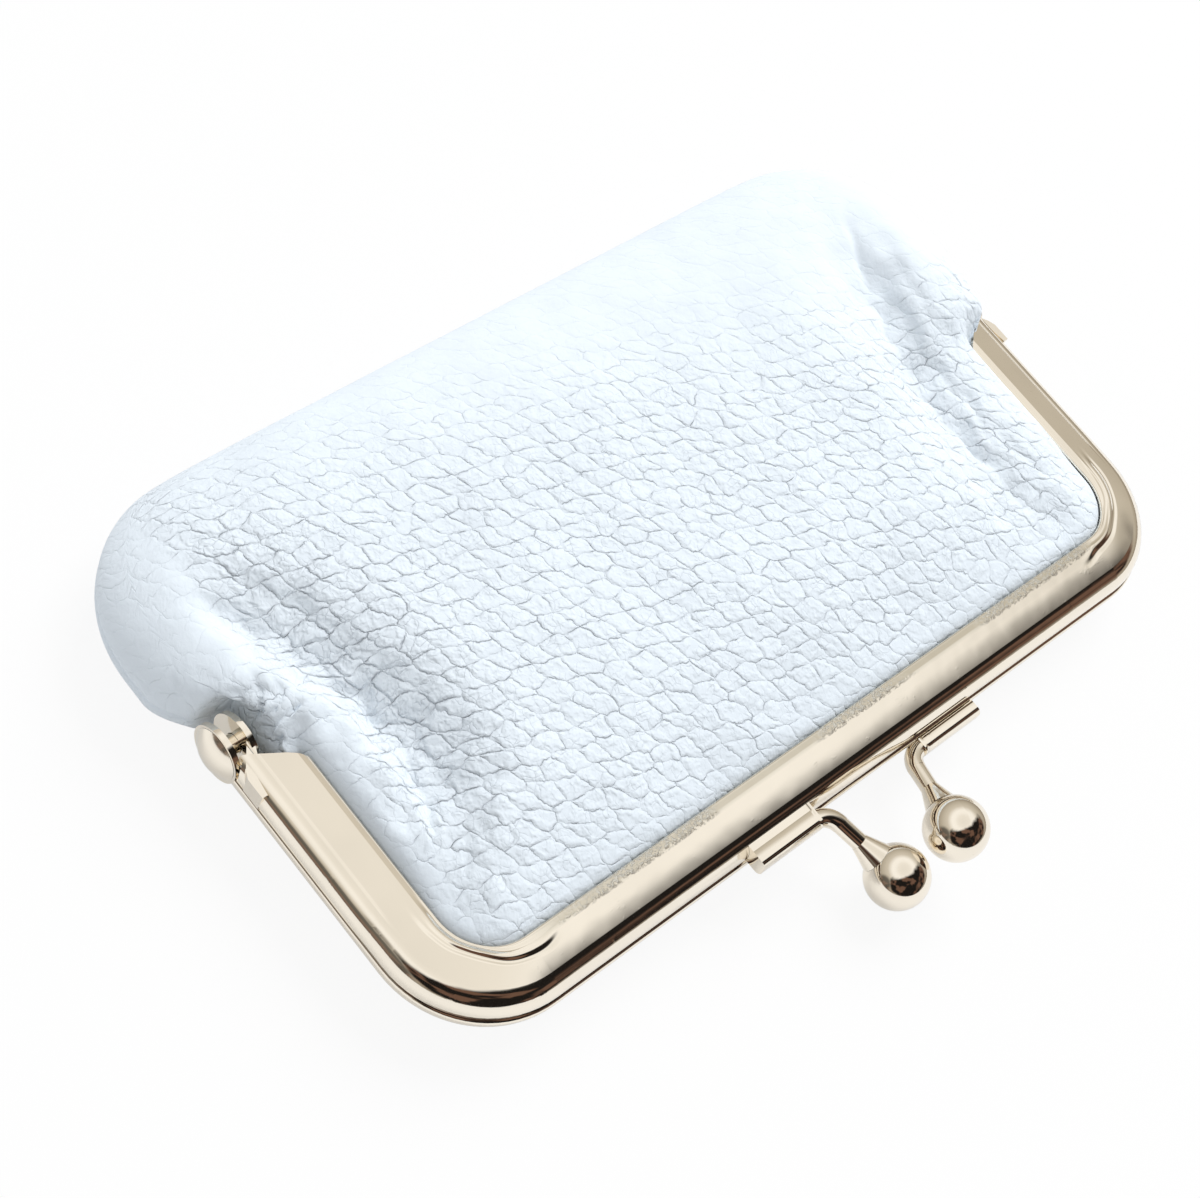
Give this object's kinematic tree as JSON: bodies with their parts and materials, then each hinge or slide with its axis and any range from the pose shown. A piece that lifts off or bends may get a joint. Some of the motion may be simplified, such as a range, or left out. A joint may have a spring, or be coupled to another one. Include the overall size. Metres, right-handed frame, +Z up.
{
  "type": "kiss lock frame purse",
  "caption": "Small pebbled leather coin purse on a rounded metal frame that hinges open and shuts with a ball kiss clasp.",
  "frame": {"origin": "on the table under the middle of the hinge line, where the back panel's flat patch lies", "axes": "+X along the hinge line towards the right leg, +Y from the hinge line to the pouch's bottom, +Z up from the table; the clasp points to -Y"},
  "size_m": [0.1096, 0.0744, 0.0129],
  "materials": {
    "frame_plate": "polished, plated in light gold",
    "rivet_plate": "polished, plated in light gold",
    "clasp_plate": "polished, plated in light gold",
    "leather": "pebbled, soft, pale blue",
    "lining": "plain weave cloth, grey",
    "paper_cord": "twisted brown paper",
    "thread": "twisted polyester thread"
  },
  "bodies": {
    "back_half": {"back_frame": "frame_plate", "left_hinge_rivet": "rivet_plate", "right_hinge_rivet": "rivet_plate", "back_clasp_arm": "clasp_plate", "back_clasp_ball": "clasp_plate", "back_paper_cord": "paper_cord", "back_leather_panel": "leather", "back_lining": "lining", "front_leather_pouch": "leather", "front_leather_fold": "leather", "front_lining": "lining", "seam_thread": "thread", "lining_thread": "thread"},
    "front_half": {"front_frame": "frame_plate", "front_clasp_arm": "clasp_plate", "front_clasp_ball": "clasp_plate", "front_paper_cord": "paper_cord", "front_leather_mouth": "leather"}
  },
  "joints": [
    {"name": "frame_hinge", "type": "hinge", "parent": "back_half", "child": "front_half", "pos_m": [0, 0, 0.0054], "axis": [-1, 0, 0], "range_deg": [0, 80], "deforming": ["front_leather_fold", "front_lining"]}
  ]
}
